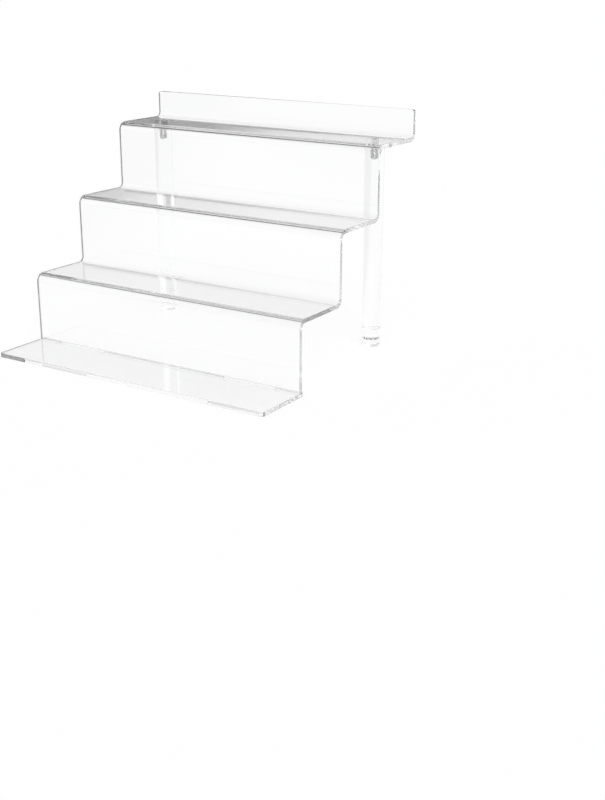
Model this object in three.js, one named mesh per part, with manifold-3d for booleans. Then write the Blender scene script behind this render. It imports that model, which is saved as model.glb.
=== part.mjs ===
// Tiered display stand in clear acrylic. One bent sheet makes the upper treads, their risers and a low lip
// at the back. Its tabs drop into a flat base plate, the lowest tier, and two turned rods carry the top.
// Millimetres, +Z up. The front faces -Y, and the origin is on the surface below the middle of the stand.
import * as THREE from 'three';
import { mergeVertices } from 'three/addons/utils/BufferGeometryUtils.js';
import Module from 'manifold-3d';

// Sheet that the stepped panel and the base plate are cut from
const sheetThickness = 4;
const standWidth = 300;
const cornerRadius = 3; // plate corners and lip corners
const bendRadius = 4.5; // inside of each heat bend
const bendFacets = 12;

// Steps of the bent panel
const stepCount = 3;
const stepRun = 65; // front of one riser to the front of the next
const stepRise = 65; // top of one tier to the top of the next
const lipHeight = 25; // lip above the top tread

// Base plate, measured from the lowest riser
const plateTread = 55.5; // in front of the riser's front face
const plateHeel = 3.5; // behind the riser's back face

// Tabs on the panel's lower edge, and their slots
const tabWidth = 54;
const tabEndMargin = 26; // from the end of the panel to the tab
const slotClearance = 0.3; // round a tab, on each side

// Legs, turned from rod
const legDiameter = 18;
const legEndMargin = 26; // axis to the end of the panel
const legLipMargin = 25; // axis to the lip's front face
const footHeight = 7.5; // up to the foot's rim
const slopeHeight = 1.5; // top of the foot, sloping in from the rim
const slopeDepth = 2.2;
const coveHeight = 2.5; // from the slope up to the waist's straight part
const coveDepth = 0.4;
const waistHeight = 10; // from the foot's rim to the shoulder above the waist
const shoulderFillet = 0.3;
const legEdge = 0.4; // broken edge at the foot and at the top
const legSides = 48;
const waistFacets = 6; // along the cove and along the fillet

// Countersunk screws that hold the top tread to the legs
const screwDiameter = 5;
const screwLength = 18.5; // overall, with the head
const headOverhang = 2.1; // head beyond the shank on each side, and the height of its cone
const headRim = 0.3; // straight edge of the head
const tipChamfer = 0.7;
const screwClearance = 0.3; // round the screw in the tread and in the leg
const boreRunout = 0.6; // bore below the screw's tip
const boreLeadIn = 0.5; // chamfer at the mouth of the bore
const recessLength = 4.4; // cross recess in the head
const recessWidth = 1;
const recessDepth = 1.8;
const screwSides = 32;

// Places that follow from the sizes
const standDepth = plateTread + stepCount * stepRun + sheetThickness;
const plateFront = -standDepth / 2;
const riserFront = plateFront + plateTread;
const plateBack = riserFront + sheetThickness + plateHeel;
const lipFront = riserFront + stepCount * stepRun;
const plateTop = sheetThickness;
const treadTop = plateTop + stepCount * stepRise;
const treadUnderside = treadTop - sheetThickness;
const lipTop = treadTop + lipHeight;
const halfWidth = standWidth / 2;
const tabOuter = halfWidth - tabEndMargin;
const tabInner = tabOuter - tabWidth;
const legX = halfWidth - legEndMargin;
const legY = lipFront - legLipMargin;
const shankRadius = screwDiameter / 2;
const headRadius = shankRadius + headOverhang;
const headDepth = headRim + headOverhang;

const wasm = await Module();
wasm.setup();

// Closed solid from a geometry, with seams joined and the empty triangles at a lathe's axis left out
function solidOf(geometry) {
  geometry.deleteAttribute('normal');
  geometry.deleteAttribute('uv');
  const joined = mergeVertices(geometry);
  const triangles = [];
  for (let i = 0; i < joined.index.count; i += 3) {
    const corners = [0, 1, 2].map((k) => joined.index.getX(i + k));
    if (new Set(corners).size === 3) triangles.push(...corners);
  }
  return new wasm.Manifold(new wasm.Mesh({
    numProp: 3,
    vertProperties: new Float32Array(joined.attributes.position.array),
    triVerts: new Uint32Array(triangles),
  }));
}

function meshOf(name, solid, material) {
  const { vertProperties, triVerts } = solid.getMesh();
  const geometry = new THREE.BufferGeometry();
  geometry.setAttribute('position', new THREE.BufferAttribute(vertProperties, 3));
  geometry.setIndex(new THREE.BufferAttribute(triVerts, 1));
  geometry.computeVertexNormals();
  const mesh = new THREE.Mesh(geometry, material);
  mesh.name = name;
  return mesh;
}

// Cosine and sine at each facet's end along a quarter circle
function quarterTurn(facets) {
  return Array.from({ length: facets + 1 }, (_, i) => {
    const angle = (i / facets) * (Math.PI / 2);
    return [Math.cos(angle), Math.sin(angle)];
  });
}

// Closed outline through right-angled corners [u, v, radius], each rounded to its radius
function outlineOf(corners) {
  const points = corners.flatMap(([u, v, radius], i) => {
    const corner = new THREE.Vector2(u, v);
    if (radius === 0) return [corner];
    const before = new THREE.Vector2(...corners.at(i - 1)).sub(corner).normalize();
    const after = new THREE.Vector2(...corners[(i + 1) % corners.length]).sub(corner).normalize();
    const centre = corner.clone().addScaledVector(before, radius).addScaledVector(after, radius);
    return quarterTurn(bendFacets).map(([cosine, sine]) => (
      centre.clone().addScaledVector(after, -radius * cosine).addScaledVector(before, -radius * sine)
    ));
  });
  return new THREE.Shape(points);
}

function extruded(shape, length) {
  return new THREE.ExtrudeGeometry(shape, { depth: length, bevelEnabled: false });
}

// Turned solid round a vertical axis, from [radius, height] points that start and end on the axis
function turned(points, sides) {
  const profile = points.map(([radius, height]) => new THREE.Vector2(radius, height));
  return solidOf(new THREE.LatheGeometry(profile, sides).rotateX(Math.PI / 2));
}

// Stepped panel: the bent sheet's section, run past the tabs, the lip and both ends, then trimmed to the
// outline that it has from the front
function panelSection() {
  const outside = bendRadius + sheetThickness;
  const front = [[riserFront, -sheetThickness, 0]];
  const back = [[riserFront + sheetThickness, -sheetThickness, 0]];
  for (let step = 1; step <= stepCount; step += 1) {
    const riser = riserFront + (step - 1) * stepRun;
    const top = plateTop + step * stepRise;
    front.push([riser, top, outside], [riser + stepRun, top, bendRadius]);
    back.push([riser + sheetThickness, top - sheetThickness, bendRadius]);
    back.push([riser + stepRun + sheetThickness, top - sheetThickness, outside]);
  }
  front.push([lipFront, lipTop + sheetThickness, 0]);
  back.push([lipFront + sheetThickness, lipTop + sheetThickness, 0]);
  return outlineOf([...back, ...front.reverse()]);
}

function panelFrontOutline() {
  const tabs = [[-tabOuter, -tabInner], [tabInner, tabOuter]];
  const lowerEdge = tabs.flatMap(([left, right]) => [
    [left, plateTop, 0],
    [left, 0, 0],
    [right, 0, 0],
    [right, plateTop, 0],
  ]);
  return outlineOf([
    [-halfWidth, plateTop, 0],
    ...lowerEdge,
    [halfWidth, plateTop, 0],
    [halfWidth, lipTop, cornerRadius],
    [-halfWidth, lipTop, cornerRadius],
  ]);
}

function screwHole(x) {
  const hole = turned([
    [0, treadUnderside - sheetThickness],
    [shankRadius + screwClearance, treadUnderside - sheetThickness],
    [shankRadius + screwClearance, treadTop - headDepth],
    [headRadius + screwClearance, treadTop - headRim],
    [headRadius + screwClearance, treadTop + sheetThickness],
    [0, treadTop + sheetThickness],
  ], screwSides);
  return hole.translate([x, legY, 0]);
}

function steppedPanel() {
  const across = new THREE.Vector3(1, 0, 0);
  const inward = new THREE.Vector3(0, 1, 0);
  const upward = new THREE.Vector3(0, 0, 1);
  const section = extruded(panelSection(), standWidth + 2 * sheetThickness)
    .applyMatrix4(new THREE.Matrix4().makeBasis(inward, upward, across))
    .translate(-halfWidth - sheetThickness, 0, 0);
  const outline = extruded(panelFrontOutline(), 2 * standDepth)
    .applyMatrix4(new THREE.Matrix4().makeBasis(across, upward, inward.clone().negate()))
    .translate(0, standDepth, 0);
  return solidOf(section).intersect(solidOf(outline)).subtract(screwHole(-legX)).subtract(screwHole(legX));
}

// Base plate: flat, with rounded corners and a slot for each tab
function slot(x) {
  const width = tabWidth + 2 * slotClearance;
  const depth = sheetThickness + 2 * slotClearance;
  const cutter = new THREE.BoxGeometry(width, depth, 4 * sheetThickness);
  return solidOf(cutter.translate(x, riserFront + sheetThickness / 2, 0));
}

function basePlate() {
  const shape = outlineOf([
    [-halfWidth, plateFront, cornerRadius],
    [halfWidth, plateFront, cornerRadius],
    [halfWidth, plateBack, cornerRadius],
    [-halfWidth, plateBack, cornerRadius],
  ]);
  const tabMiddle = (tabInner + tabOuter) / 2;
  return solidOf(extruded(shape, sheetThickness)).subtract(slot(-tabMiddle)).subtract(slot(tabMiddle));
}

// Leg: foot with a sloped top, waist, sharp shoulder, plain rod, and a blind bore for the screw in its top
function leg(x) {
  const radius = legDiameter / 2;
  const slopeRadius = radius - slopeDepth;
  const slopeTop = footHeight + slopeHeight;
  const waistRadius = slopeRadius - coveDepth;
  const shoulder = footHeight + waistHeight;
  const boreRadius = shankRadius + screwClearance;
  const boreBottom = treadTop - screwLength - boreRunout;
  const mouth = Math.max(boreLeadIn, headDepth - sheetThickness);
  const cove = quarterTurn(waistFacets).map(([cosine, sine]) => [
    slopeRadius - coveDepth * sine,
    slopeTop + coveHeight * (1 - cosine),
  ]);
  const fillet = quarterTurn(waistFacets).map(([cosine, sine]) => [
    waistRadius + shoulderFillet * (1 - cosine),
    shoulder - shoulderFillet * (1 - sine),
  ]);
  const solid = turned([
    [0, 0],
    [radius - legEdge, 0],
    [radius, legEdge],
    [radius, footHeight],
    ...cove,
    ...fillet,
    [radius, shoulder],
    [radius, treadUnderside - legEdge],
    [radius - legEdge, treadUnderside],
    [boreRadius + mouth, treadUnderside],
    [boreRadius, treadUnderside - mouth],
    [boreRadius, boreBottom],
    [0, boreBottom],
  ], legSides);
  return solid.translate([x, legY, 0]);
}

// Screw: chamfered tip, plain shank for the thread, countersunk head flush with the tread, cross recess
function legScrew(x) {
  const tip = treadTop - screwLength;
  const blank = turned([
    [0, tip],
    [shankRadius - tipChamfer, tip],
    [shankRadius, tip + tipChamfer],
    [shankRadius, treadTop - headDepth],
    [headRadius, treadTop - headRim],
    [headRadius, treadTop],
    [0, treadTop],
  ], screwSides);
  const recess = [[recessLength, recessWidth], [recessWidth, recessLength]].map(([width, depth]) => (
    solidOf(new THREE.BoxGeometry(width, depth, 2 * recessDepth).translate(0, 0, treadTop))
  ));
  return blank.subtract(recess[0]).subtract(recess[1]).translate([x, legY, 0]);
}

const acrylic = new THREE.MeshStandardMaterial({ color: 0xe6f0f3, roughness: 0.05, transparent: true });
acrylic.opacity = 0.35;
const steel = new THREE.MeshStandardMaterial({ color: 0xb4b6b8, roughness: 0.3, metalness: 1 });

const stand = new THREE.Group();
stand.name = 'tiered_display_stand';
stand.add(
  meshOf('base_plate', basePlate(), acrylic),
  meshOf('stepped_panel', steppedPanel(), acrylic),
  meshOf('left_leg', leg(-legX), acrylic),
  meshOf('right_leg', leg(legX), acrylic),
  meshOf('left_leg_screw', legScrew(-legX), steel),
  meshOf('right_leg_screw', legScrew(legX), steel),
);

export default stand;
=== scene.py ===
import math

import bmesh
import bpy
from mathutils import Matrix, Vector


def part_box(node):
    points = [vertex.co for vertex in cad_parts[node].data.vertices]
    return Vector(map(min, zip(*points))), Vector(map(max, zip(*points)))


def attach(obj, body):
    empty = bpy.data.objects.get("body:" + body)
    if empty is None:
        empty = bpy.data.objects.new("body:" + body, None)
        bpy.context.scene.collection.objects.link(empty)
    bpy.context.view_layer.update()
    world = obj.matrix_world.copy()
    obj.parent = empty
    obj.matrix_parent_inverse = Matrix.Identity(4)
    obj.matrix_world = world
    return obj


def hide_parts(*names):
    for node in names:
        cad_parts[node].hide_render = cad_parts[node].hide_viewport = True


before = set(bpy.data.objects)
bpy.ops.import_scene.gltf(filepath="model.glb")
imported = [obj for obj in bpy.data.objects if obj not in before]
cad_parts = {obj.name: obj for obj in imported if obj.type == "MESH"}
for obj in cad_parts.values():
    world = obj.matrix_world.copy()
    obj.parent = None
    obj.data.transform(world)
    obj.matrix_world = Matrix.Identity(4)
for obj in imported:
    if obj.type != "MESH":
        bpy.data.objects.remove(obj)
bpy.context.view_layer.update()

# Base plate, the lowest tier: a strip of 4 mm clear acrylic sheet, cut with rounded corners and two slots,
# with its long edges polished and its ends left as sawn. It lies flat on the counter, and the tabs of the
# stepped panel drop into its slots.
stand_width = 0.300
sheet = 0.004
corner_radius = 0.003
corner_facets = 16
tab_inner = 0.070
tab_outer = 0.124
slot_clearance = 0.0003
seat_gap = 0.0001
riser_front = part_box("stepped_panel")[0].y
edge_break = 0.0002
acrylic_ior = 1.49
clear_tint = (0.992, 0.997, 0.997, 1)
clear_white = (1.0, 1.0, 1.0, 1)


def pick_edges(test):
    """Selects the edges in edit mode whose two ends pass the test."""
    bpy.ops.mesh.select_mode(type="EDGE")
    bpy.ops.mesh.select_all(action="DESELECT")
    mesh = bmesh.from_edit_mesh(bpy.context.edit_object.data)
    for edge in mesh.edges:
        edge.select_set(test(edge.verts[0].co, edge.verts[1].co))
    bmesh.update_edit_mesh(bpy.context.edit_object.data)


def pick_faces(test):
    """Selects the faces in edit mode whose middle and normal pass the test."""
    bpy.ops.mesh.select_mode(type="FACE")
    bpy.ops.mesh.select_all(action="DESELECT")
    mesh = bmesh.from_edit_mesh(bpy.context.edit_object.data)
    mesh.normal_update()
    for face in mesh.faces:
        face.select_set(test(face.calc_center_median(), face.normal))
    bmesh.update_edit_mesh(bpy.context.edit_object.data)


def cut_across(place, normal):
    """Bisects the whole mesh in edit mode."""
    bpy.ops.mesh.select_all(action="SELECT")
    bpy.ops.mesh.bisect(plane_co=place, plane_no=normal)


def break_sharp_edges():
    """Takes the sharpness off every cut edge in edit mode."""
    bpy.ops.mesh.select_mode(type="EDGE")
    bpy.ops.mesh.select_all(action="DESELECT")
    bpy.ops.mesh.edges_select_sharp(sharpness=math.radians(40))
    bpy.ops.mesh.bevel(offset=edge_break, segments=2, affect="EDGES")


def smooth_with_flat_faces(piece):
    """Smooth shading in which large faces keep their own normal."""
    bpy.ops.object.shade_smooth()
    piece.modifiers.new("flat_faces", "WEIGHTED_NORMAL")
    bpy.ops.object.modifier_apply(modifier="flat_faces")


def clear_acrylic(name, polish, scuff):
    """Clear acrylic with a faint tint, polish and scuff being its least and greatest roughness."""
    material = bpy.data.materials.new(name)
    material.use_nodes = True
    nodes = material.node_tree.nodes
    links = material.node_tree.links
    shader = nodes["Principled BSDF"]
    shader.inputs["IOR"].default_value = acrylic_ior
    shader.inputs["Transmission Weight"].default_value = 1.0
    coords = nodes.new("ShaderNodeTexCoord")
    cloud = nodes.new("ShaderNodeTexNoise")
    cloud.inputs["Scale"].default_value = 22
    cloud.inputs["Detail"].default_value = 5
    links.new(coords.outputs["Object"], cloud.inputs["Vector"])
    tint = nodes.new("ShaderNodeValToRGB")
    tint.color_ramp.elements[0].color = clear_tint
    tint.color_ramp.elements[1].color = clear_white
    links.new(cloud.outputs["Fac"], tint.inputs["Fac"])
    links.new(tint.outputs["Color"], shader.inputs["Base Color"])
    hairline = nodes.new("ShaderNodeTexNoise")
    hairline.inputs["Scale"].default_value = 35
    hairline.inputs["Detail"].default_value = 8
    hairline.inputs["Distortion"].default_value = 1.5
    links.new(coords.outputs["Object"], hairline.inputs["Vector"])
    wear = nodes.new("ShaderNodeMapRange")
    wear.inputs["From Min"].default_value = 0.55
    wear.inputs["From Max"].default_value = 0.85
    wear.inputs["To Min"].default_value = polish
    wear.inputs["To Max"].default_value = scuff
    links.new(hairline.outputs["Fac"], wear.inputs["Value"])
    links.new(wear.outputs["Result"], shader.inputs["Roughness"])
    return material


sheet_face = clear_acrylic("acrylic_sheet_face", polish=0.0, scuff=0.03)

# Painted shade on the cut ends: where a polished end would throw all light back inside the sheet, a dark
# grey matt share is mixed in, varied by fine saw-mark noise, standing in for the darkness of that trapped
# light.
end_shade_strength = 0.72
end_shade_grey = (0.22, 0.225, 0.23, 1)

sawn_end_painted_shade = clear_acrylic("acrylic_sawn_end", polish=0.0, scuff=0.015)
nodes = sawn_end_painted_shade.node_tree.nodes
links = sawn_end_painted_shade.node_tree.links
# mask for the painted shade: strongest where light from inside meets the end past the critical angle
trapped_light_mask = nodes.new("ShaderNodeFresnel")
trapped_light_mask.inputs["IOR"].default_value = acrylic_ior
shade_where_trapped = nodes.new("ShaderNodeMapRange")
shade_where_trapped.inputs["From Min"].default_value = 0.05
shade_where_trapped.inputs["From Max"].default_value = 1.0
shade_where_trapped.inputs["To Min"].default_value = 0.0
shade_where_trapped.inputs["To Max"].default_value = end_shade_strength
links.new(trapped_light_mask.outputs["Fac"], shade_where_trapped.inputs["Value"])
coords = nodes.new("ShaderNodeTexCoord")
saw_marks = nodes.new("ShaderNodeTexNoise")
saw_marks.inputs["Scale"].default_value = 1500
saw_marks.inputs["Detail"].default_value = 4
links.new(coords.outputs["Object"], saw_marks.inputs["Vector"])
mark_depth = nodes.new("ShaderNodeMapRange")
mark_depth.inputs["From Min"].default_value = 0.3
mark_depth.inputs["From Max"].default_value = 0.7
mark_depth.inputs["To Min"].default_value = 0.8
mark_depth.inputs["To Max"].default_value = 1.2
links.new(saw_marks.outputs["Fac"], mark_depth.inputs["Value"])
painted_shade_share = nodes.new("ShaderNodeMath")
painted_shade_share.operation = "MULTIPLY"
links.new(shade_where_trapped.outputs["Result"], painted_shade_share.inputs[0])
links.new(mark_depth.outputs["Result"], painted_shade_share.inputs[1])
# painted shade: a dark grey matt shader, mixed over the clear end where light inside would be reflected
# back
painted_end_shade = nodes.new("ShaderNodeBsdfPrincipled")
painted_end_shade.inputs["Base Color"].default_value = end_shade_grey
painted_end_shade.inputs["Roughness"].default_value = 0.7
end_mix = nodes.new("ShaderNodeMixShader")
links.new(painted_shade_share.outputs["Value"], end_mix.inputs["Fac"])
links.new(nodes["Principled BSDF"].outputs["BSDF"], end_mix.inputs[1])
links.new(painted_end_shade.outputs["BSDF"], end_mix.inputs[2])
links.new(end_mix.outputs["Shader"], nodes["Material Output"].inputs["Surface"])


def leave_ends_sawn(piece):
    """Gives a piece of sheet, in edit mode, its polished faces and its two sawn ends, which carry painted
    shade.
    """
    piece.data.materials.append(sheet_face)
    piece.data.materials.append(sawn_end_painted_shade)
    pick_faces(lambda p, n: abs(p.x) > stand_width / 2 - corner_radius and abs(n.x) > 0.5)
    piece.active_material_index = 1
    bpy.ops.object.material_slot_assign()


low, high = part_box("base_plate")
bpy.ops.object.select_all(action="DESELECT")
bpy.ops.mesh.primitive_cube_add(size=1, location=(low + high) / 2, scale=high - low)
base_plate = bpy.context.object
base_plate.name = "clear_base_plate"
bpy.ops.object.transform_apply(location=True, rotation=True, scale=True)
bpy.ops.object.mode_set(mode="EDIT")
pick_edges(lambda a, b: abs(a.z - b.z) > sheet / 2)
bpy.ops.mesh.bevel(offset=corner_radius, segments=corner_facets, affect="EDGES")
slot_front = riser_front - slot_clearance
slot_back = riser_front + sheet + slot_clearance
for side in (-1, 1):
    cut_across((side * (tab_inner - slot_clearance), 0, 0), (1, 0, 0))
    cut_across((side * (tab_outer + slot_clearance), 0, 0), (1, 0, 0))
cut_across((0, slot_front, 0), (0, 1, 0))
cut_across((0, slot_back, 0), (0, 1, 0))
pick_faces(lambda p, n: tab_inner < abs(p.x) < tab_outer and slot_front < p.y < slot_back)
bpy.ops.mesh.delete(type="FACE")
for side in (-1, 1):
    bpy.ops.mesh.select_mode(type="EDGE")
    bpy.ops.mesh.select_all(action="DESELECT")
    bpy.ops.mesh.select_non_manifold(extend=False)
    mesh = bmesh.from_edit_mesh(base_plate.data)
    for edge in mesh.edges:
        if edge.verts[0].co.x * side < 0:
            edge.select_set(False)
    bmesh.update_edit_mesh(base_plate.data)
    bpy.ops.mesh.bridge_edge_loops()
bpy.ops.mesh.select_all(action="SELECT")
bpy.ops.mesh.normals_make_consistent(inside=False)
break_sharp_edges()
leave_ends_sawn(base_plate)
bpy.ops.object.mode_set(mode="OBJECT")
smooth_with_flat_faces(base_plate)
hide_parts("base_plate")
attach(base_plate, "plate")

# Stepped panel: one 4 mm clear acrylic sheet, heated along six lines and bent into three risers, three
# treads and a low lip. Two tabs on its lower edge drop into the plate's slots, and its top tread is drilled
# and countersunk for the screws into the legs.
step_run = 0.065
step_rise = 0.065
bend_inside = 0.0045
bend_outside = bend_inside + sheet
bend_facets = 16
same_place = 0.00001
lip_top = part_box("stepped_panel")[1].z
leg_low, leg_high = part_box("right_leg")
leg_x = (leg_low.x + leg_high.x) / 2
leg_y = (leg_low.y + leg_high.y) / 2
tread_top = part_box("right_leg_screw")[1].z
screw_radius = 0.0025
screw_sides = 48
head_radius = 0.0046
head_rim = 0.0003
head_depth = head_rim + head_radius - screw_radius
screw_clearance = 0.0003

bpy.ops.object.select_all(action="DESELECT")
bpy.ops.mesh.primitive_plane_add(size=1, location=(0, riser_front + sheet / 2, sheet + seat_gap))
stepped_panel = bpy.context.object
stepped_panel.name = "clear_stepped_panel"
stepped_panel.scale = (stand_width, sheet, 1)
bpy.ops.object.transform_apply(location=True, rotation=True, scale=True)
bpy.ops.object.mode_set(mode="EDIT")
bpy.ops.mesh.select_mode(type="FACE")
bpy.ops.mesh.select_all(action="SELECT")
foot = sheet + seat_gap
for step in range(3):
    front = riser_front + step * step_run
    top = sheet + (step + 1) * step_rise
    rise = top - bend_outside - foot
    bpy.ops.mesh.extrude_region_move(TRANSFORM_OT_translate={"value": (0, 0, rise)})
    crest = (0, front + bend_outside, top - bend_outside)
    bpy.ops.mesh.spin(steps=bend_facets, angle=math.pi / 2, center=crest, axis=(1, 0, 0))
    run = step_run - bend_outside - bend_inside
    bpy.ops.mesh.extrude_region_move(TRANSFORM_OT_translate={"value": (0, run, 0)})
    valley = (0, front + step_run - bend_inside, top + bend_inside)
    bpy.ops.mesh.spin(steps=bend_facets, angle=-math.pi / 2, center=valley, axis=(1, 0, 0))
    foot = top + bend_inside
bpy.ops.mesh.extrude_region_move(TRANSFORM_OT_translate={"value": (0, 0, lip_top - foot)})
bpy.ops.mesh.select_all(action="SELECT")
bpy.ops.mesh.remove_doubles(threshold=same_place)
bpy.ops.mesh.normals_make_consistent(inside=False)
for side in (-1, 1):
    cut_across((side * tab_inner, 0, 0), (1, 0, 0))
    cut_across((side * tab_outer, 0, 0), (1, 0, 0))
pick_faces(lambda p, n: tab_inner < abs(p.x) < tab_outer and p.z < sheet + 2 * seat_gap)
bpy.ops.mesh.extrude_region_move(TRANSFORM_OT_translate={"value": (0, 0, -sheet - seat_gap)})
pick_edges(lambda a, b: abs(a.x) > stand_width / 2 - same_place and min(a.z, b.z) > lip_top - same_place
           and abs(a.x - b.x) < same_place)
bpy.ops.mesh.bevel(offset=corner_radius, segments=corner_facets, affect="EDGES")
break_sharp_edges()
leave_ends_sawn(stepped_panel)
bpy.ops.object.mode_set(mode="OBJECT")


def turn(name, sides, profile):
    """Turns a piece as on a lathe: a disc, then drawn up ring by ring through (radius, height) points."""
    bpy.ops.object.select_all(action="DESELECT")
    start_radius, start_height = profile[0]
    bpy.ops.mesh.primitive_circle_add(
        vertices=sides, radius=start_radius, fill_type="NGON", location=(0, 0, start_height)
    )
    piece = bpy.context.object
    piece.name = name
    bpy.ops.object.transform_apply(location=True, rotation=True, scale=True)
    bpy.ops.object.mode_set(mode="EDIT")
    bpy.ops.mesh.select_mode(type="FACE")
    bpy.ops.mesh.select_all(action="SELECT")
    for (radius, height), (next_radius, next_height) in zip(profile, profile[1:]):
        bpy.ops.mesh.extrude_region_move(TRANSFORM_OT_translate={"value": (0, 0, next_height - height)})
        grow = next_radius / radius
        bpy.ops.transform.resize(value=(grow, grow, 1), center_override=(0, 0, next_height))
    bpy.ops.mesh.select_all(action="SELECT")
    bpy.ops.mesh.normals_make_consistent(inside=False)
    bpy.ops.object.mode_set(mode="OBJECT")
    return piece


def copy_to_side(pattern, name, side):
    """Copies a turned piece, with its own mesh, to the left (-1) or right (1) leg's place."""
    bpy.ops.object.select_all(action="DESELECT")
    pattern.select_set(True)
    bpy.context.view_layer.objects.active = pattern
    bpy.ops.object.duplicate()
    piece = bpy.context.object
    piece.name = name
    bpy.ops.transform.translate(value=(side * leg_x, leg_y, 0))
    bpy.ops.object.transform_apply(location=True, rotation=True, scale=True)
    return piece


drill = turn("screw_hole_drill", screw_sides, [
    (screw_radius + screw_clearance, tread_top - 2 * sheet),
    (screw_radius + screw_clearance, tread_top - head_depth),
    (head_radius + screw_clearance, tread_top - head_rim),
    (head_radius + screw_clearance, tread_top + sheet),
])
for side in (-1, 1):
    placed_drill = copy_to_side(drill, "placed_drill", side)
    bpy.context.view_layer.objects.active = stepped_panel
    hole = stepped_panel.modifiers.new("screw_hole", "BOOLEAN")
    hole.operation = "DIFFERENCE"
    hole.object = placed_drill
    bpy.ops.object.modifier_apply(modifier="screw_hole")
    bpy.data.objects.remove(placed_drill)
bpy.data.objects.remove(drill)

bpy.ops.object.select_all(action="DESELECT")
stepped_panel.select_set(True)
bpy.context.view_layer.objects.active = stepped_panel
smooth_with_flat_faces(stepped_panel)
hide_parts("stepped_panel")
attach(stepped_panel, "panel")

# Legs: two clear acrylic rods of 18 mm, turned with a waist above the foot and a sharp shoulder, and bored
# in the top for a screw. They stand on the counter and carry the back of the top tread.
leg_radius = 0.009
leg_edge = 0.0004
leg_sides = 96
foot_height = 0.0075
slope_depth = 0.0022
slope_height = 0.0015
cove_depth = 0.0004
cove_height = 0.0025
waist_depth = slope_depth + cove_depth
waist_height = 0.010
waist_facets = 12
shoulder = foot_height + waist_height
shoulder_fillet = 0.0003
leg_top = leg_high.z - seat_gap
pilot_radius = 0.00225
pilot_lead_in = 0.0005
pilot_runout = 0.0002
screw_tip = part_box("right_leg_screw")[0].z

rod_clear = clear_acrylic("acrylic_turned_rod", polish=0.0, scuff=0.05)

cove = []
fillet = []
for i in range(waist_facets + 1):
    angle = i / waist_facets * math.pi / 2
    cove.append((
        leg_radius - slope_depth - cove_depth * math.sin(angle),
        foot_height + slope_height + cove_height * (1 - math.cos(angle)),
    ))
    fillet.append((
        leg_radius - waist_depth + shoulder_fillet * (1 - math.cos(angle)),
        shoulder - shoulder_fillet * (1 - math.sin(angle)),
    ))

turned_leg = turn("turned_leg", leg_sides, [
    (leg_radius - leg_edge, 0),
    (leg_radius, leg_edge),
    (leg_radius, foot_height),
    *cove,
    *fillet,
    (leg_radius, shoulder),
    (leg_radius, leg_top - leg_edge),
    (leg_radius - leg_edge, leg_top),
    (pilot_radius + pilot_lead_in, leg_top),
    (pilot_radius, leg_top - pilot_lead_in),
    (pilot_radius, screw_tip - pilot_runout),
])
turned_leg.data.materials.append(rod_clear)
bpy.ops.object.shade_smooth_by_angle(angle=math.radians(35))
for name, side in (("left_leg", -1), ("right_leg", 1)):
    leg = copy_to_side(turned_leg, "clear_" + name, side)
    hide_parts(name)
    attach(leg, name)
bpy.data.objects.remove(turned_leg)

# Screws: two plated steel countersunk screws of 5 mm with a cross recess. Each goes down through the top
# tread, with its head flush in the countersink, and its thread bites in the bore of a leg.
thread_pitch = 0.0008
thread_depth = 0.0002
plain_neck = 0.0006
tip_chamfer = 0.0007
recess_length = 0.0044
recess_width = 0.001
recess_depth = 0.0018
dull_plating = (0.62, 0.62, 0.63, 1)
bright_plating = (0.84, 0.84, 0.84, 1)

plated_steel = bpy.data.materials.new("plated_steel")
plated_steel.use_nodes = True
nodes = plated_steel.node_tree.nodes
links = plated_steel.node_tree.links
shader = nodes["Principled BSDF"]
shader.inputs["Metallic"].default_value = 1.0
coords = nodes.new("ShaderNodeTexCoord")
grain = nodes.new("ShaderNodeTexNoise")
grain.inputs["Scale"].default_value = 900
grain.inputs["Detail"].default_value = 6
links.new(coords.outputs["Object"], grain.inputs["Vector"])
plating = nodes.new("ShaderNodeValToRGB")
plating.color_ramp.elements[0].color = dull_plating
plating.color_ramp.elements[1].color = bright_plating
links.new(grain.outputs["Fac"], plating.inputs["Fac"])
links.new(plating.outputs["Color"], shader.inputs["Base Color"])
polish = nodes.new("ShaderNodeMapRange")
polish.inputs["To Min"].default_value = 0.22
polish.inputs["To Max"].default_value = 0.42
links.new(grain.outputs["Fac"], polish.inputs["Value"])
links.new(polish.outputs["Result"], shader.inputs["Roughness"])

thread_start = screw_tip + tip_chamfer
thread_end = tread_top - head_depth - plain_neck
thread = []
turns = int((thread_end - thread_start) / thread_pitch)
for i in range(turns):
    root = thread_start + i * thread_pitch
    thread.append((screw_radius - thread_depth, root))
    thread.append((screw_radius, root + thread_pitch / 2))

turned_screw = turn("turned_screw", screw_sides, [
    (screw_radius - tip_chamfer, screw_tip),
    *thread,
    (screw_radius - thread_depth, thread_end),
    (screw_radius - thread_depth, tread_top - head_depth),
    (head_radius, tread_top - head_rim),
    (head_radius, tread_top),
])
for width, depth in ((recess_length, recess_width), (recess_width, recess_length)):
    bpy.ops.object.select_all(action="DESELECT")
    bpy.ops.mesh.primitive_cube_add(
        size=1, location=(0, 0, tread_top), scale=(width, depth, 2 * recess_depth)
    )
    punch = bpy.context.object
    bpy.ops.object.transform_apply(location=True, rotation=True, scale=True)
    bpy.context.view_layer.objects.active = turned_screw
    recess = turned_screw.modifiers.new("cross_recess", "BOOLEAN")
    recess.operation = "DIFFERENCE"
    recess.object = punch
    bpy.ops.object.modifier_apply(modifier="cross_recess")
    bpy.data.objects.remove(punch)
turned_screw.data.materials.append(plated_steel)
bpy.ops.object.select_all(action="DESELECT")
turned_screw.select_set(True)
bpy.ops.object.shade_smooth_by_angle(angle=math.radians(25))
for name, body, side in (("left_leg_screw", "left_screw", -1), ("right_leg_screw", "right_screw", 1)):
    screw = copy_to_side(turned_screw, "steel_" + name, side)
    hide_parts(name)
    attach(screw, body)
bpy.data.objects.remove(turned_screw)

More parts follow.
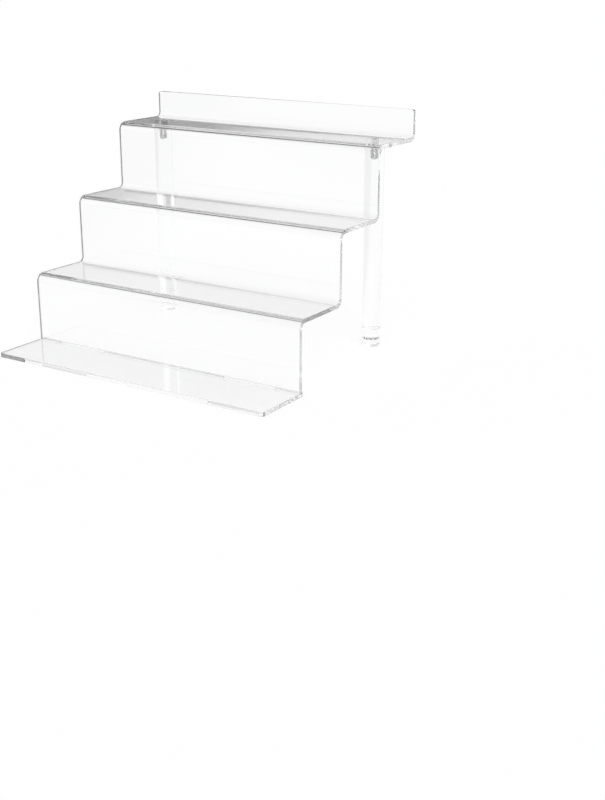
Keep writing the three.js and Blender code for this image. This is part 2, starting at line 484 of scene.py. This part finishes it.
# Studio: white paper lies under the stand. Its glow carries painted shade, grey to the right, in front
# and at the front left, where less light falls. The pale walls are dark along the floor and again high up,
# and one large soft lamp hangs in front. These tones show in reflections: what is seen directly, or
# straight through clear sheet, stays white.
floor_size = 60
floor_gap = 0.0003
paper_white = (0.95, 0.95, 0.95, 1)
paper_glow = 0.92
to_right = (0.913, 0.407, 0)
to_back = (-0.57, 0.82, 0)
to_left = (-0.839, 0.545, 0)
to_front = (0, -1, 0)

bpy.ops.object.select_all(action="DESELECT")
bpy.ops.mesh.primitive_plane_add(size=floor_size, location=(0, 0, -floor_gap))
floor = bpy.context.object
floor.name = "studio_floor"
floor_white = bpy.data.materials.new("studio_floor_white")
floor_white.use_nodes = True
nodes = floor_white.node_tree.nodes
links = floor_white.node_tree.links
floor_paint = nodes["Principled BSDF"]
floor_paint.inputs["Base Color"].default_value = paper_white
floor_paint.inputs["Roughness"].default_value = 0.9
floor_paint.inputs["Specular IOR Level"].default_value = 0.0


def combine(operation, first, second):
    """Adds a math node for two numbers."""
    node = nodes.new("ShaderNodeMath")
    node.operation = operation
    links.new(first, node.inputs[0])
    if isinstance(second, float):
        node.inputs[1].default_value = second
    else:
        links.new(second, node.inputs[1])
    return node.outputs["Value"]


def measure_along(vector, line):
    """Adds a node that measures how far a vector reaches along a line."""
    node = nodes.new("ShaderNodeVectorMath")
    node.operation = "DOT_PRODUCT"
    links.new(vector, node.inputs[0])
    node.inputs[1].default_value = line
    return node.outputs["Value"]


def fade(value, start, end, start_tone, end_tone, curve="SMOOTHSTEP"):
    """Adds a node that goes from one tone to another as a number goes from start to end."""
    node = nodes.new("ShaderNodeMapRange")
    node.interpolation_type = curve
    node.inputs["From Min"].default_value = start
    node.inputs["From Max"].default_value = end
    node.inputs["To Min"].default_value = start_tone
    node.inputs["To Max"].default_value = end_tone
    links.new(value, node.inputs["Value"])
    return node.outputs["Result"]


place = nodes.new("ShaderNodeTexCoord").outputs["Object"]
# painted shade in the floor's glow: darker to the right, in front and at the front left
right_painted_shade = fade(measure_along(place, to_right), start=0.17, end=0.34, start_tone=1.0, end_tone=0.9)
front_tone = fade(measure_along(place, to_back), start=-0.25, end=-0.6, start_tone=1.0, end_tone=0.8)
left_painted_shade = combine(
    "MAXIMUM",
    fade(measure_along(place, to_left), start=0.05, end=0.3, start_tone=1.0, end_tone=0.5),
    fade(measure_along(place, to_front), start=0.05, end=0.25, start_tone=1.0, end_tone=0.5),
)
ray = nodes.new("ShaderNodeLightPath")
right_side = combine("MAXIMUM", right_painted_shade, ray.outputs["Is Camera Ray"])
front_and_left_shade = combine("MINIMUM", front_tone, left_painted_shade)
straight_view = combine("LESS_THAN", ray.outputs["Glossy Depth"], 0.5)
glow_with_painted_shade = combine("MINIMUM", right_side, combine("MAXIMUM", front_and_left_shade, straight_view))
glow = nodes.new("ShaderNodeEmission")
links.new(glow_with_painted_shade, glow.inputs["Color"])
seen = combine("MAXIMUM", ray.outputs["Is Camera Ray"], ray.outputs["Is Glossy Ray"])
seen = combine("MAXIMUM", seen, ray.outputs["Is Transmission Ray"])
floor_mix = nodes.new("ShaderNodeMixShader")
links.new(combine("MULTIPLY", seen, paper_glow), floor_mix.inputs["Fac"])
links.new(floor_paint.outputs["BSDF"], floor_mix.inputs[1])
links.new(glow.outputs["Emission"], floor_mix.inputs[2])
links.new(floor_mix.outputs["Shader"], nodes["Material Output"].inputs["Surface"])
floor.data.materials.append(floor_white)

# Walls: their tones go by height in degrees. The dark band along the floor is high in one corner behind the
# stand and low elsewhere, and the lower walls to both sides of that corner are lighter.
wall_tones = (
    (0, 0.05), (5.5, 0.05), (7.2, 0.35), (8.3, 0.6), (10.7, 0.7), (14.5, 0.8), (22, 0.75), (90, 0.7),
)
dark_corner = (-0.777, 0.629, 0)
corner_tones = ((0.94, 1.0), (0.98, 0.92))
side_tones = ((0.0, 0.0), (0.2, 0.4), (0.86, 0.4), (0.91, 0.0))
high_at_back = (0, 0.38, 1)
high_back_tones = ((0.7, 1.0), (0.8, 0.1), (0.86, 0.1), (0.92, 0.5), (0.98, 0.42))
high_in_front = (0, -0.7, 0.7)
high_front_tones = ((0.79, 1.0), (0.87, 0.3))

world = bpy.data.worlds.new("studio_light")
bpy.context.scene.world = world
world.use_nodes = True
nodes = world.node_tree.nodes
links = world.node_tree.links


def grey_by(value, tones):
    """Adds a colour ramp with greys at their positions, and feeds it a number."""
    node = nodes.new("ShaderNodeValToRGB")
    for number, (position, tone) in enumerate(tones):
        if number < 2:
            stop = node.color_ramp.elements[number]
            stop.position = position
        else:
            stop = node.color_ramp.elements.new(position)
        stop.color = (tone, tone, tone, 1)
    links.new(value, node.inputs["Fac"])
    return node.outputs["Color"]


direction = nodes.new("ShaderNodeTexCoord").outputs["Generated"]
height = measure_along(direction, (0, 0, 1))
near_corner = measure_along(direction, dark_corner)
lean = fade(near_corner, start=0.975, end=0.925, start_tone=-0.065, end_tone=0.075, curve="LINEAR")
sine_tones = [(math.sin(math.radians(angle)), tone) for angle, tone in wall_tones]
light = grey_by(combine("ADD", height, lean), sine_tones)
light = combine("MULTIPLY", light, grey_by(measure_along(direction, high_at_back), high_back_tones))
light = combine("MULTIPLY", light, grey_by(measure_along(direction, high_in_front), high_front_tones))
light = combine("MULTIPLY", light, grey_by(near_corner, corner_tones))
low_part = fade(height, start=0.42, end=0.32, start_tone=0.0, end_tone=1.0, curve="LINEAR")
side_light = combine("MULTIPLY", grey_by(near_corner, side_tones), low_part)
light = combine("MULTIPLY", light, combine("ADD", side_light, 1.0))
walls = nodes["Background"]
links.new(light, walls.inputs["Color"])
backdrop = nodes.new("ShaderNodeBackground")
backdrop.inputs["Color"].default_value = (1, 1, 1, 1)
ray = nodes.new("ShaderNodeLightPath")
straight_view = combine("LESS_THAN", ray.outputs["Glossy Depth"], 0.5)
seen = combine("MAXIMUM", ray.outputs["Is Camera Ray"], ray.outputs["Is Transmission Ray"])
world_mix = nodes.new("ShaderNodeMixShader")
links.new(combine("MULTIPLY", seen, straight_view), world_mix.inputs["Fac"])
links.new(walls.outputs["Background"], world_mix.inputs[1])
links.new(backdrop.outputs["Background"], world_mix.inputs[2])
links.new(world_mix.outputs["Shader"], nodes["World Output"].inputs["Surface"])

# Lamp: a sun wide enough to leave only soft shadows, high in front of the stand and to its right.
lamp_place = Vector((0.9, -1.2, 2.0))
bpy.ops.object.light_add(type="SUN", location=lamp_place)
lamp = bpy.context.object
lamp.name = "soft_lamp"
lamp.data.energy = 2.3
lamp.data.angle = math.radians(50)
lamp.rotation_euler = lamp_place.to_track_quat("Z", "Y").to_euler()

# Camera at the photograph's viewing angle: to the right of the stand and a little above it.
camera_place = (0.6803, -0.9034, 0.3524)
camera_turn = math.radians(32.37)
camera_tilt = math.radians(90 - 19.73)
camera_roll = math.radians(0.22)
camera_data = bpy.data.cameras.new("photo_camera")
camera_data.lens = 55.06
camera_data.sensor_width = 36
camera = bpy.data.objects.new("photo_camera", camera_data)
bpy.context.scene.collection.objects.link(camera)
camera.location = camera_place
turned = Matrix.Rotation(camera_turn, 3, "Z")
tilted = Matrix.Rotation(camera_tilt, 3, "X")
rolled = Matrix.Rotation(camera_roll, 3, "Z")
camera.rotation_euler = (turned @ tilted @ rolled).to_euler()
bpy.context.scene.camera = camera

# Light that runs inside the clear sheet is reflected many times before it comes out.
inside_reflections = 256
bpy.context.scene.view_settings.view_transform = "Standard"
bpy.context.scene.cycles.max_bounces = inside_reflections
bpy.context.scene.cycles.glossy_bounces = inside_reflections
bpy.context.scene.cycles.transmission_bounces = inside_reflections
